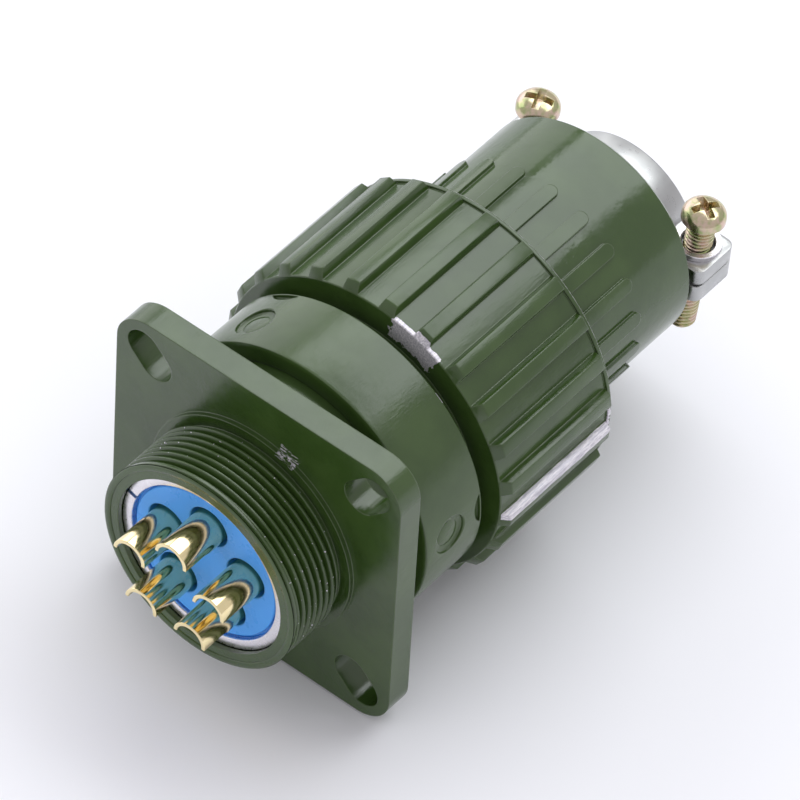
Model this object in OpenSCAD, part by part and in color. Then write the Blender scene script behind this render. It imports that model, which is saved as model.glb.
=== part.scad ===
// Circular bayonet connector, mated plug and square flange receptacle.
// Millimetres. X runs along the connector from the solder cups (-X) to the
// cable clamp (+X), Z is up, and the origin is on the connector axis at the
// solder-side face of the mounting flange. Angles are about X, from +Y to +Z.

/* [Flange] */

// Side of the square mounting flange
flange_side = 36; // [30:0.5:60]
// Thickness of the flange
flange_t = 3; // [1.5:0.1:6]
// Corner radius of the flange
flange_corner_r = 4; // [1:0.1:8]
// Distance of each mounting slot's centre from its square corner, on the diagonal
slot_inset = 5.95; // [5:0.05:9]
// Width of each mounting slot
slot_w = 4.1; // [2:0.1:5]
// Length of each mounting slot, along its radius
slot_len = 6.2; // [5:0.1:8]

/* [Receptacle shell] */

// Radius of the solder-side tube over its thread crests
tube_r = 11.95; // [11.6:0.05:14]
// Height of the tube in front of the flange
tube_len = 8.3; // [6.5:0.1:20]
// Wall of the tube, from its thread crests to the seat of the insert
tube_wall = 1.55; // [1.3:0.05:3]
// Depth of the tube's thread below its crests
thread_depth = 0.5; // [0.3:0.05:0.6]
// Width of the plain band at the mouth of the tube
tube_band_w = 0.8; // [0.5:0.05:2]
// Step from the thread crests out to the shoulder at the foot of the tube
foot_step = 0.8; // [0.4:0.05:2]
// Height of the shoulder at the foot of the tube
foot_h = 0.55; // [0.2:0.05:2]
// Width of the bevel at the mouth of the tube
tube_bevel = 0.45; // [0:0.05:0.8]
// Outer radius of the mating barrel
barrel_r = 14.3; // [12.8:0.05:20]
// Wall of the mating barrel
barrel_wall = 2.1; // [1.9:0.05:3]
// Reach of the barrel behind the flange, from the flange face
barrel_reach = 13.9; // [13:0.1:14]
// Reach of the web that stops the insert, inside the insert's seat
web_lip = 0.9; // [0.4:0.05:1.2]
// Thickness of the web that stops the insert
web_t = 1.5; // [0.8:0.1:2.5]

/* [Bayonet] */

// Radius of each bayonet stud
stud_r = 1.5; // [1:0.05:1.6]
// Distance of the locked studs from the flange face
stud_x = 10.5; // [10:0.1:11]
// Angle of the first stud about the axis
stud_angle = 56; // [0:1:119]
// Turn of the coupling ring from locked to free, degrees
unlock_turn = 120; // [90:1:120]
// Travel of the plug while the ring turns from locked to free
unlock_travel = 5.4; // [4.8:0.1:7]
// Clearance on each side of a stud in its groove
groove_gap = 0.12; // [0.05:0.01:0.3]
// Depth of the curved grooves in the barrel
groove_depth = 1.15; // [0.8:0.05:1.3]
// Clearance between a stud's tip and the floor of its groove
stud_tip_gap = 0.2; // [0.1:0.05:0.4]
// Turn over which each groove runs out past the mouth of the barrel, degrees
run_out_angle = 8; // [4:1:12]
// Steps along each curved groove
groove_steps = 26; // [12:1:48]

/* [Polarising keys] */

// Width of the main key
main_key_w = 3.2; // [2:0.1:4]
// Width of the four small keys
small_key_w = 1.8; // [1:0.1:2.4]
// Height of the keys inside the barrel
key_h = 0.7; // [0.4:0.05:0.9]
// Clearance around each key in its keyway
key_gap = 0.12; // [0.05:0.01:0.3]
// Length of the keys, from the mouth of the barrel
key_len = 7; // [4:0.1:8]

/* [Contacts] */

// Distance of the contacts' circle inside the seat of the insert
contact_inset = 4.65; // [4.4:0.05:5]
// Angle of the first contact about the axis
contact_angle = 32; // [0:0.5:360]
// Angle from each contact to the next
contact_step_angle = 67.5; // [60:0.5:72]
// Outer radius of the solder cups
cup_r = 2.0; // [1.6:0.05:2.1]
// Wall of the solder cups
cup_wall = 0.42; // [0.3:0.02:0.6]
// Distance of the cup mouths from the flange face
cup_reach = 13.6; // [12:0.1:18]
// Reach of the plug's solder cups behind its insert
rear_cup_len = 5; // [4.5:0.1:8]
// Depth of the bore of a solder cup
cup_depth = 5.4; // [4:0.1:6]
// Length of the open side of a solder cup
cup_open_len = 4.4; // [3:0.1:4.8]
// Radius of the clearance hole around each contact
contact_hole_r = 2.35; // [2.2:0.05:2.5]
// Depth of the clearance hole around each contact
contact_hole_depth = 2.2; // [1:0.1:3]
// Radius of the pins
pin_r = 1.25; // [0.8:0.05:1.35]
// Reach of the pins behind the flange face
pin_reach = 11.5; // [10:0.1:12]
// Clearance around a pin in its socket
pin_gap = 0.05; // [0.02:0.01:0.1]
// Outer radius of the sockets
socket_r = 1.95; // [1.75:0.05:2.1]

/* [Receptacle insert] */

// Depth of the insert's face below the mouth of the tube
insert_drop = 0.95; // [0.3:0.05:2]
// Gap between the raised face of the insert and the retaining ring
insert_face_gap = 0.3; // [0.1:0.05:0.6]
// Height of the raised face over the retaining ring's seat
insert_step = 0.5; // [0.1:0.05:1]
// Reach of the insert behind the flange face
insert_reach = 3.6; // [3.2:0.1:3.9]
// Clearance of the insert in the shell
insert_gap = 0.06; // [0.02:0.01:0.2]
// Reach of the split retaining ring inside the seat of the insert
snap_lip = 1.2; // [0.9:0.05:1.4]
// Thickness of the split retaining ring
snap_t = 0.8; // [0.5:0.05:0.9]
// Depth of the retaining ring's groove in the tube
snap_groove = 0.45; // [0.2:0.05:0.6]
// Angle of the gap in the retaining ring
snap_gap_angle = 31; // [0:1:360]
// Width of the gap in the retaining ring
snap_gap_w = 1.1; // [0.3:0.1:4]

/* [Seal] */

// Thickness of the seal at the bottom of the barrel
seal_t = 1.45; // [0.8:0.05:1.5]
// Gap between the seal and the insert inside it
seal_inset = 1; // [0.5:0.1:1.4]

/* [Plug shell] */

// Start of the plug's nose, from the flange face
nose_x = 4.6; // [4.6:0.1:5.5]
// Clearance of the nose in the barrel
nose_gap = 0.08; // [0.03:0.01:0.1]
// Wall of the nose
nose_wall = 1.82; // [1.5:0.02:2.3]
// Height over the nose of the shoulder that the coupling ring pulls on
shoulder_h = 1.08; // [0.98:0.02:1.18]
// Width of the shoulder
shoulder_w = 2.2; // [1.5:0.1:2.4]
// Step from the nose down to the thread that carries the backshell
plug_thread_step = 0.52; // [0.3:0.02:0.7]
// Reach of the lip that stops the plug insert from behind
rear_lip = 1; // [0.5:0.1:1.1]
// Rear end of the plug shell, from the flange face
plug_end_x = 31; // [29:0.1:33]

/* [Plug insert] */

// Start of the plug insert, from the flange face
plug_insert_x = 5.4; // [5.2:0.1:6]
// Length of the plug insert
plug_insert_len = 14.6; // [13:0.1:16]
// Clearance of the plug insert in the plug shell
plug_insert_gap = 0.06; // [0.02:0.01:0.2]

/* [Coupling ring collar] */

// Wall of the smooth collar
collar_wall = 2.02; // [1.5:0.02:2.6]
// Front of the collar, from the flange face
collar_x = 6.8; // [6:0.1:7.5]
// Rear of the collar, from the flange face
collar_end_x = 15.4; // [15:0.1:15.6]
// Running clearance of the collar on the barrel
collar_gap = 0.08; // [0.04:0.01:0.1]
// Rounded bevel at the front of the collar
collar_bevel = 0.4; // [0.1:0.05:1]
// Wall of the neck between the collar and the teeth
neck_wall = 0.87; // [0.6:0.01:1.4]
// Radius of the round recess over each stud
dimple_r = 2.15; // [1.8:0.05:2.6]
// Depth of the round recess over each stud
dimple_depth = 0.35; // [0.1:0.05:0.6]
// Radius of the crescent cut at the rear edge of the collar behind each stud
crescent_r = 2.6; // [2:0.1:3.5]
// Reach of the crescent cut into the collar
crescent_reach = 1.1; // [0.4:0.1:1.6]
// Depth of the crescent cut
crescent_depth = 0.7; // [0.3:0.05:1.2]

/* [Coupling ring teeth] */

// Front face of the toothed part, from the flange face
teeth_x = 17.1; // [16.8:0.05:17.5]
// Rear face of the ring, from the flange face
ring_end_x = 34.3; // [32:0.1:40]
// Number of grip teeth
tooth_count = 24; // [18:1:30]
// Step from the collar out to the floor between the teeth
tooth_floor_step = 1; // [0.6:0.05:1.4]
// Height of the teeth over the floor between them
tooth_h = 1; // [0.8:0.05:2]
// Width of a tooth at its tip, degrees
tooth_tip_w = 4.8; // [3:0.1:7]
// Width of a tooth at its foot, degrees
tooth_foot_w = 6.6; // [4:0.1:9]
// Angle of the first tooth about the axis
tooth_angle = 5.8; // [0:0.1:15]
// Slope of the tooth ends, along the axis
tooth_bevel = 0.75; // [0.3:0.05:1.5]
// Width of the plain rim behind the teeth
rim_w = 0.8; // [0.5:0.05:2]
// Height of the plain rim over the floor between the teeth
rim_h = 0.25; // [0.05:0.05:0.6]

/* [Coupling ring inside] */

// Running clearance of the ring over the plug shell
ring_gap = 0.08; // [0.04:0.01:0.1]
// Width of the web that pulls on the plug's shoulder
ring_web_w = 2; // [1.2:0.1:3]
// Space between the ring's bore and the backshell inside it
ring_space = 1.05; // [0.85:0.05:1.6]
// Thickness of the wave washer's strip
wave_t = 0.35; // [0.2:0.05:0.4]
// Space between the shoulder and the web, filled by the wave washer
wave_space = 0.95; // [0.7:0.05:1.2]
// Number of waves round the washer
wave_count = 3; // [2:1:6]
// Thickness of the circlip behind the web
clip_t = 0.9; // [0.6:0.1:1.4]
// Height of the circlip over the plug shell
clip_h = 1.28; // [0.9:0.02:1.6]
// Depth of the circlip's groove in the plug shell
clip_groove = 0.7; // [0.4:0.05:0.8]

/* [Backshell] */

// Wall of the backshell over its thread
shell_wall = 1.55; // [1.2:0.05:1.8]
// Front end of the backshell, from the flange face
shell_x = 23; // [22.5:0.1:25]
// Rear end of the backshell, from the flange face
shell_end_x = 52.9; // [50:0.1:70]
// Step from the backshell's thread in to its bore
shell_stop = 0.6; // [0.4:0.05:0.8]
// Number of raised ribs round the backshell
rib_count = 20; // [12:1:24]
// Width of a raised rib
rib_w = 1.6; // [0.8:0.1:2]
// Height of a raised rib
rib_h = 0.38; // [0.2:0.02:0.6]
// Rear end of the ribs, from the flange face
rib_end_x = 44.4; // [38:0.1:48]
// Angle of the first rib about the axis
rib_angle = 6; // [0:0.5:18]
// Bevel at the rear edge of the backshell
shell_bevel = 0.35; // [0.1:0.05:1]

/* [Cable clamp] */

// Roll of the clamp about the axis, where its thread came up tight
clamp_roll = 5; // [-45:1:45]
// Step from the backshell's bore in to the thread of the clamp base
base_step = 0.7; // [0.5:0.05:1]
// Length of the clamp base's plug in the backshell
base_len = 6.5; // [4:0.1:10]
// Step from the arches in to the cable's bore in the clamp base
cable_step = 0.1; // [0.1:0.1:1]
// Step from the clamp base's thread out to its flange on the backshell
base_flange_step = 1; // [0.5:0.1:1.7]
// Thickness of the clamp base's flange
base_flange_t = 0.5; // [0.3:0.1:0.6]
// Inner radius of the clamp's two arches
arch_bore_r = 7.1; // [6.5:0.1:7.2]
// Wall of the clamp's two arches
arch_wall = 1.5; // [1:0.1:1.6]
// Offset of each arch's centre past the axis, away from its crown
arch_drop = 1.9; // [1.5:0.1:1.9]
// Rear edge of the arches, from the flange face
arch_end_x = 59.4; // [58:0.1:62]
// Centre of the screws along the axis
screw_x = 56; // [55.8:0.1:57]
// Distance of each screw outside the arches
screw_out = 1.8; // [1.7:0.05:3]
// Half length of an ear along the axis
ear_half = 2.45; // [2:0.05:2.5]
// Reach of an ear outside its screw
ear_reach = 2.65; // [2.2:0.05:4]
// Corner radius of an ear
ear_corner_r = 1.1; // [0.3:0.1:2]
// Thickness of the lower ears
ear_t = 2.1; // [1.5:0.1:4]
// Thickness of the saddle's ears
saddle_ear_t = 1.85; // [1.2:0.05:3]
// Gap between the saddle and the lower ears
saddle_gap = 0.15; // [0.1:0.05:1]

/* [Clamp screws] */

// Radius of a screw's shank
screw_r = 1.5; // [1:0.05:1.5]
// Reach of an ear inside the foot of its arch
ear_overlap = 0.1; // [0.05:0.05:0.5]
// Distance of the underside of a screw's head above the axis
screw_head_z = 5.9; // [4:0.1:8]
// Length of a screw's shank
screw_len = 16; // [10:0.5:20]
// Radius of a screw's head
head_r = 2.45; // [2:0.05:3]
// Height of a screw's head
head_h = 1.9; // [1.2:0.1:2.6]
// Clearance around a screw in the saddle
screw_gap = 0.2; // [0.1:0.05:0.4]
// Clearance around a screw in its tapped hole
tapped_gap = 0.02; // [0.01:0.01:0.05]
// Outer radius of a spring washer
washer_r = 2.6; // [2.2:0.05:2.7]
// Thickness of a spring washer
washer_t = 0.7; // [0.4:0.05:1]
// Width of the slit in a spring washer
washer_slit = 0.4; // [0.2:0.05:0.8]

/* [Hidden] */

$fn = 96;
eps = 0.01;
half_side = flange_side / 2;
contact_angles = [for (i = [0:4]) contact_angle + i * contact_step_angle];
key_angles = [90, 142, 205, 330, 25];
slot_r = half_side * sqrt(2) - slot_inset;
seat_r = tube_r - tube_wall;
thread_root_r = tube_r - thread_depth;
foot_r = tube_r + foot_step;
web_r = seat_r - web_lip;
snap_r = seat_r - snap_lip;
insert_face_r = snap_r - insert_face_gap;
contact_circle_r = seat_r - contact_inset;
barrel_bore_r = barrel_r - barrel_wall;
seal_r = web_r + seal_inset;
insert_x = -(tube_len - insert_drop);
ledge_x = insert_x + insert_step;
web_x = flange_t - web_t;
barrel_floor_x = flange_t;
nose_r = barrel_bore_r - nose_gap;
plug_bore_r = nose_r - nose_wall;
rear_bore_r = plug_bore_r - rear_lip;
shoulder_r = nose_r + shoulder_h;
plug_thread_r = nose_r - plug_thread_step;
clip_r = nose_r + clip_h;
shell_r = plug_thread_r + shell_wall;
shell_bore_r = plug_thread_r - shell_stop;
ring_bore_r = shell_r + ring_space;
base_r = shell_bore_r - base_step;
base_flange_r = base_r + base_flange_step;
mouth_gap = 0.3;
floor_gap = 0.5;
shoulder_x = barrel_reach + mouth_gap + floor_gap;
ring_floor_x = shoulder_x - floor_gap;
ring_web_x = shoulder_x + shoulder_w + wave_space;
ring_web_end_x = ring_web_x + ring_web_w;
clip_x = ring_web_end_x + 0.06;
collar_bore_r = barrel_r + collar_gap;
collar_r = collar_bore_r + collar_wall;
neck_r = shoulder_r + ring_gap + neck_wall;
tooth_floor_r = collar_r + tooth_floor_step;
tooth_tip_r = tooth_floor_r + tooth_h;
rim_r = tooth_floor_r + rim_h;
stud_tip_r = barrel_r - groove_depth + stud_tip_gap;
socket_x = plug_insert_x + 0.3;
plug_insert_end_x = plug_insert_x + plug_insert_len;
socket_end_x = plug_insert_end_x + rear_cup_len;
thread_x = clip_x + clip_t + 1.2;
base_x = shell_end_x - base_len;
arch_r = arch_bore_r + arch_wall;
cable_r = arch_bore_r - arch_drop - cable_step;
screw_spacing = 2 * (arch_r + screw_out);
ear_y = screw_spacing / 2 + ear_reach;
ear_x = screw_x - ear_half;
washer_z = saddle_gap + saddle_ear_t;

shell_green = [0.16, 0.25, 0.11];
insert_blue = [0.10, 0.45, 0.90];
contact_gold = [0.85, 0.66, 0.25];
steel = [0.78, 0.78, 0.80];
zinc_yellow = [0.80, 0.72, 0.45];
seal_grey = [0.25, 0.25, 0.26];

// Puts a shape built up +Z along +X
module along_x() { rotate([0, 90, 0]) children(); }

// Solid of revolution about X from [radius, x] points
module turned(points) { along_x() rotate_extrude() polygon(points); }

// Plain cylinder along X between two stations
module rod(x0, x1, r) { translate([x0, 0, 0]) along_x() cylinder(h = x1 - x0, r = r); }

// Hollow cylinder along X between two stations
module tube(x0, x1, r, bore) {
  turned([[bore, x0], [r, x0], [r, x1], [bore, x1]]);
}

// Flat outline in the YZ plane, extruded between two stations. The outline's
// first axis is Y and its second is Z.
module plate(x0, x1) {
  translate([x0, 0, 0]) rotate([90, 0, 90]) linear_extrude(height = x1 - x0) children();
}

// Rectangle with round corners, centred
module round_rect(a, b, r) {
  square([a - 2 * r, b], center = true);
  square([a, b - 2 * r], center = true);
  for (i = [-1, 1], j = [-1, 1])
    translate([i * (a / 2 - r), j * (b / 2 - r)]) circle(r = r);
}

// Slot with round ends, centred, along its first axis
module slot(len, w) {
  square([len - w, w], center = true);
  for (i = [-1, 1]) translate([i * (len - w) / 2, 0]) circle(r = w / 2);
}

// Ring of keys standing inwards from radius r, between two stations
module keys(x0, x1, r, h, grow) {
  for (i = [0:4])
    rotate([key_angles[i], 0, 0])
      translate([x0, r - h, -(i == 0 ? main_key_w : small_key_w) / 2 - grow])
        cube([x1 - x0, h + 0.6, (i == 0 ? main_key_w : small_key_w) + 2 * grow]);
}

// Curved groove of one stud, from its locked end to the mouth of the barrel
module stud_groove() {
  w = stud_r + groove_gap;
  slope = unlock_travel / (unlock_turn * PI / 180 * barrel_r);
  half = w * sqrt(1 + slope * slope);
  r0 = barrel_r - groove_depth;
  r1 = barrel_r + 0.5;
  span = unlock_turn + run_out_angle;
  function section(i) =
    let (a = span * i / groove_steps,
         x = stud_x + unlock_travel * a / unlock_turn)
    [[x - half, r0 * cos(a), r0 * sin(a)],
     [x + half, r0 * cos(a), r0 * sin(a)],
     [x + half, r1 * cos(a), r1 * sin(a)],
     [x - half, r1 * cos(a), r1 * sin(a)]];
  points = [for (i = [0:groove_steps]) for (p = section(i)) p];
  sides = [for (i = [0:groove_steps - 1]) for (k = [0:3])
    let (a = 4 * i + k, b = 4 * i + (k + 1) % 4)
      for (t = [[b + 4, b, a], [a + 4, b + 4, a]]) t];
  last = 4 * groove_steps;
  polyhedron(points = points,
    faces = concat([[2, 3, 0], [1, 2, 0]], sides,
                   [[last + 2, last + 1, last], [last + 3, last + 2, last]]));
  translate([stud_x, 0, 0]) rotate([-90, 0, 0])
    translate([0, 0, r0]) cylinder(h = r1 - r0, r = w);
}

module receptacle_shell() {
  color(shell_green) difference() {
    union() {
      turned([[seat_r, -tube_len], [tube_r - tube_bevel, -tube_len],
              [tube_r, -tube_len + tube_bevel], [tube_r, -tube_len + tube_band_w],
              [thread_root_r, -tube_len + tube_band_w], [thread_root_r, -foot_h],
              [foot_r, -foot_h], [foot_r, eps], [foot_r, web_x],
              [seat_r, web_x]]);
      difference() {
        plate(0, flange_t) round_rect(flange_side, flange_side, flange_corner_r);
        rod(-1, web_x, seat_r);
        rod(-1, flange_t + 1, web_r);
        for (a = [45, 135, 225, 315])
          plate(-1, flange_t + 1) rotate(a) translate([slot_r, 0]) slot(slot_len, slot_w);
      }
      tube(flange_t - 0.5, barrel_reach, barrel_r, barrel_bore_r);
      intersection() {
        keys(barrel_reach - key_len, barrel_reach, barrel_bore_r, key_h, 0);
        rod(flange_t, barrel_reach, barrel_bore_r + 0.4);
      }
    }
    tube(ledge_x - snap_t - 0.05, ledge_x + 0.05, seat_r + snap_groove, seat_r - 0.5);
    for (i = [0:2]) rotate([stud_angle + 120 * i, 0, 0]) stud_groove();
  }
}

module receptacle_insert() {
  color(insert_blue) difference() {
    turned([[0, insert_x], [insert_face_r, insert_x], [insert_face_r, ledge_x],
            [seat_r - insert_gap, ledge_x], [seat_r - insert_gap, web_x],
            [web_r - insert_gap, web_x], [web_r - insert_gap, insert_reach],
            [0, insert_reach]]);
    for (a = contact_angles) rotate([a, 0, 0]) translate([0, contact_circle_r, 0]) {
      rod(insert_x - 1, insert_x + contact_hole_depth, contact_hole_r);
      rod(insert_x - 1, web_x, cup_r);
      rod(insert_x, insert_reach + 1, pin_r);
    }
  }
}

// Solder cup along X from its mouth at x0 to its foot at x1. The mouth faces
// away from the foot, and the side towards the angle side is cut open with a
// curved end.
module solder_cup(x0, x1, side) {
  out = x0 < x1 ? 1 : -1;
  scoop = cup_r * 0.95;
  difference() {
    rod(min(x0, x1), max(x0, x1), cup_r);
    rod(min(x0 - out, x0 + out * cup_depth), max(x0 - out, x0 + out * cup_depth), cup_r - cup_wall);
    rotate([side, 0, 0]) translate([x0, 0, 0]) {
      translate([out > 0 ? -1 : scoop - cup_open_len, 0, -cup_r - 1])
        cube([cup_open_len + 1 - scoop, cup_r + 1, 2 * cup_r + 2]);
      translate([out * (cup_open_len - scoop), scoop, -cup_r - 1])
        cylinder(h = 2 * cup_r + 2, r = scoop);
    }
  }
}

// Contact with a pin, number n from 0 to 4
module pin_contact(n) {
  color(contact_gold) rotate([contact_angles[n], 0, 0]) translate([0, contact_circle_r, 0]) {
    solder_cup(-cup_reach, web_x, 90 - contact_angles[n]);
    rod(web_x - eps, pin_reach - pin_r * 0.6, pin_r);
    translate([pin_reach - pin_r * 0.6, 0, 0]) along_x()
      cylinder(h = pin_r * 0.6, r1 = pin_r, r2 = pin_r * 0.45);
  }
}

module pin_contact_1() { pin_contact(0); }
module pin_contact_2() { pin_contact(1); }
module pin_contact_3() { pin_contact(2); }
module pin_contact_4() { pin_contact(3); }
module pin_contact_5() { pin_contact(4); }

module insert_retaining_ring() {
  color(steel) difference() {
    tube(ledge_x - snap_t, ledge_x, seat_r + snap_groove - 0.1, snap_r);
    rotate([snap_gap_angle, 0, 0])
      translate([ledge_x - snap_t - 1, 0, -snap_gap_w / 2]) cube([snap_t + 2, seat_r + 2, snap_gap_w]);
  }
}

module interface_seal() {
  color(seal_grey) tube(barrel_floor_x, barrel_floor_x + seal_t, barrel_bore_r, seal_r);
}

module plug_shell() {
  color(shell_green) difference() {
    turned([[plug_bore_r, nose_x], [nose_r - 0.3, nose_x], [nose_r, nose_x + 0.3],
            [nose_r, shoulder_x], [shoulder_r, shoulder_x],
            [shoulder_r, shoulder_x + shoulder_w], [nose_r, shoulder_x + shoulder_w],
            [nose_r, clip_x], [nose_r - clip_groove, clip_x],
            [nose_r - clip_groove, clip_x + clip_t], [nose_r, clip_x + clip_t],
            [nose_r, thread_x], [plug_thread_r, thread_x], [plug_thread_r, plug_end_x],
            [rear_bore_r, plug_end_x], [rear_bore_r, plug_insert_end_x],
            [plug_bore_r, plug_insert_end_x]]);
    keys(nose_x - 1, barrel_reach + 0.2, nose_r, key_h - nose_gap + key_gap, key_gap);
  }
}

module plug_insert() {
  color(insert_blue) difference() {
    rod(plug_insert_x, plug_insert_end_x, plug_bore_r - plug_insert_gap);
    for (a = contact_angles) rotate([a, 0, 0]) translate([0, contact_circle_r, 0]) {
      rod(socket_x, plug_insert_end_x + 1, socket_r);
      rod(plug_insert_x - 1, socket_x + 1, pin_r + 2 * pin_gap);
    }
  }
}

// Contact with a socket, number n from 0 to 4
module socket_contact(n) {
  color(contact_gold) rotate([contact_angles[n], 0, 0]) translate([0, contact_circle_r, 0])
    difference() {
      union() {
        rod(socket_x, plug_insert_end_x + cup_wall, socket_r);
        solder_cup(socket_end_x, plug_insert_end_x, 90 - contact_angles[n]);
      }
      rod(socket_x - 1, pin_reach + 1.2, pin_r + pin_gap);
    }
}

module socket_contact_1() { socket_contact(0); }
module socket_contact_2() { socket_contact(1); }
module socket_contact_3() { socket_contact(2); }
module socket_contact_4() { socket_contact(3); }
module socket_contact_5() { socket_contact(4); }

module coupling_ring() {
  color(shell_green) difference() {
    union() {
      turned([[collar_bore_r, collar_x], [collar_r - collar_bevel, collar_x],
              [collar_r, collar_x + collar_bevel], [collar_r, collar_end_x],
              [neck_r, collar_end_x], [neck_r, teeth_x], [tooth_floor_r, teeth_x],
              [tooth_floor_r, ring_end_x - rim_w], [rim_r, ring_end_x - rim_w],
              [rim_r, ring_end_x], [ring_bore_r, ring_end_x],
              [ring_bore_r, ring_web_end_x], [nose_r + ring_gap, ring_web_end_x],
              [nose_r + ring_gap, ring_web_x], [shoulder_r + ring_gap, ring_web_x],
              [shoulder_r + ring_gap, ring_floor_x], [collar_bore_r, ring_floor_x]]);
      intersection() {
        turned([[neck_r, teeth_x], [tooth_floor_r, teeth_x],
                [tooth_tip_r, teeth_x + tooth_bevel],
                [tooth_tip_r, ring_end_x - rim_w - tooth_bevel * 0.4],
                [rim_r, ring_end_x - rim_w], [neck_r, ring_end_x - rim_w]]);
        plate(teeth_x - 1, ring_end_x)
          for (i = [0:tooth_count - 1]) rotate(tooth_angle + i * 360 / tooth_count) tooth_outline();
      }
    }
    for (i = [0:2]) rotate([stud_angle + 120 * i, 0, 0]) {
      translate([stud_x, 0, 0]) rotate([-90, 0, 0]) {
        translate([0, 0, barrel_r - 1]) cylinder(h = 4, r = stud_r);
        difference() {
          translate([0, 0, collar_r - dimple_depth - 0.1]) cylinder(h = 2, r = dimple_r);
          translate([0, 0, collar_r - dimple_depth - 1]) cylinder(h = 4, r = stud_r + 0.25);
        }
      }
      intersection() {
        translate([collar_end_x + crescent_r - crescent_reach, 0, 0]) rotate([-90, 0, 0])
          translate([0, 0, collar_r - crescent_depth]) cylinder(h = 2, r = crescent_r);
        rod(collar_x, (collar_end_x + teeth_x) / 2, collar_r + 2);
      }
    }
  }
}

// Section of one grip tooth, standing on the first axis
module tooth_outline() {
  a = tooth_foot_w / 2;
  b = tooth_tip_w / 2;
  r0 = tooth_floor_r - 0.6;
  r1 = tooth_tip_r + 0.4;
  polygon([[r0 * cos(a), -r0 * sin(a)], [tooth_floor_r * cos(a), -tooth_floor_r * sin(a)],
           [r1 * cos(b), -r1 * sin(b)], [r1 * cos(b), r1 * sin(b)],
           [tooth_floor_r * cos(a), tooth_floor_r * sin(a)], [r0 * cos(a), r0 * sin(a)]]);
}

module bayonet_studs() {
  color(shell_green) for (i = [0:2])
    rotate([stud_angle + 120 * i, 0, 0]) translate([stud_x, 0, 0]) rotate([-90, 0, 0])
      translate([0, 0, stud_tip_r]) cylinder(h = collar_r - dimple_depth * 0.3 - stud_tip_r, r = stud_r);
}

module wave_washer() {
  r0 = nose_r + 0.12;
  r1 = shoulder_r - 0.12;
  x0 = shoulder_x + shoulder_w + wave_space / 2;
  rise = (wave_space - wave_t) / 2 - 0.03;
  steps = 24 * wave_count;
  function mid(i) = x0 + rise * cos(i * 360 / 24);
  points = [for (i = [0:steps - 1]) let (a = i * 360 / steps, x = mid(i))
    for (p = [[x - wave_t / 2, r0], [x - wave_t / 2, r1], [x + wave_t / 2, r1], [x + wave_t / 2, r0]])
      [p[0], p[1] * cos(a), p[1] * sin(a)]];
  sides = [for (i = [0:steps - 1]) for (k = [0:3])
    let (j = (i + 1) % steps, a = 4 * i + k, b = 4 * i + (k + 1) % 4, c = 4 * j + (k + 1) % 4, d = 4 * j + k)
      [d, c, b, a]];
  color(steel) polyhedron(points = points, faces = sides);
}

module ring_circlip() {
  color(steel) difference() {
    tube(clip_x + 0.03, clip_x + clip_t - 0.03, clip_r, nose_r - clip_groove + 0.03);
    rotate([210, 0, 0]) translate([clip_x - 1, 0, -1.5]) cube([clip_t + 2, clip_r + 2, 3]);
  }
}

module backshell() {
  color(shell_green) {
    turned([[plug_thread_r, shell_x], [shell_r, shell_x],
            [shell_r, shell_end_x - shell_bevel], [shell_r - shell_bevel, shell_end_x],
            [base_r, shell_end_x], [base_r, base_x - 1], [shell_bore_r, base_x - 2],
            [shell_bore_r, plug_end_x + 0.5], [plug_thread_r, plug_end_x + 0.5]]);
    intersection() {
      tube(shell_x + 1, rib_end_x + 1, shell_r + rib_h, shell_r - 0.3);
      for (i = [0:rib_count - 1]) rotate([rib_angle + i * 360 / rib_count, 0, 0]) {
        translate([shell_x + 1, shell_r - 1, -rib_w / 2]) cube([rib_end_x - rib_w / 2 - shell_x - 1, 2, rib_w]);
        translate([rib_end_x - rib_w / 2, shell_r - 1, 0]) rotate([-90, 0, 0]) cylinder(h = 2, r = rib_w / 2);
      }
    }
  }
}

// Arch over the cable between two stations, on the +Z side above height z0
module arch(x0, x1, z0) {
  intersection() {
    translate([0, 0, -arch_drop]) tube(x0, x1, arch_r, arch_bore_r);
    translate([x0 - 1, -arch_r - 1, z0]) cube([x1 - x0 + 2, 2 * arch_r + 2, arch_r]);
  }
}

// Pair of ears between two heights, reaching in to the foot of the arch
module ears(z0, z1) {
  y0 = arch_bore_r - ear_overlap;
  for (s = [-1, 1]) translate([screw_x, s * (y0 + ear_y) / 2, z0])
    linear_extrude(height = z1 - z0) round_rect(2 * ear_half, ear_y - y0, ear_corner_r);
}

// Two upright holes for the clamp screws
module screw_holes(r) {
  for (s = [-1, 1]) translate([screw_x, s * screw_spacing / 2, -arch_r]) cylinder(h = 2 * arch_r, r = r);
}

module clamp_base() {
  color(steel) rotate([clamp_roll, 0, 0]) difference() {
    union() {
      turned([[cable_r, base_x], [base_r - 0.02, base_x], [base_r - 0.02, shell_end_x],
              [base_flange_r, shell_end_x], [base_flange_r, shell_end_x + base_flange_t],
              [cable_r, shell_end_x + base_flange_t]]);
      mirror([0, 0, 1]) arch(shell_end_x + base_flange_t - eps, arch_end_x, 0);
      ears(-ear_t, 0);
    }
    screw_holes(screw_r + tapped_gap);
  }
}

module clamp_saddle() {
  color(steel) rotate([clamp_roll, 0, 0]) difference() {
    union() {
      arch(ear_x, arch_end_x, saddle_gap);
      ears(saddle_gap, saddle_gap + saddle_ear_t);
    }
    screw_holes(screw_r + screw_gap);
    translate([0, 0, -arch_drop]) rod(ear_x - 1, arch_end_x + 1, arch_bore_r);
  }
}

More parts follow.
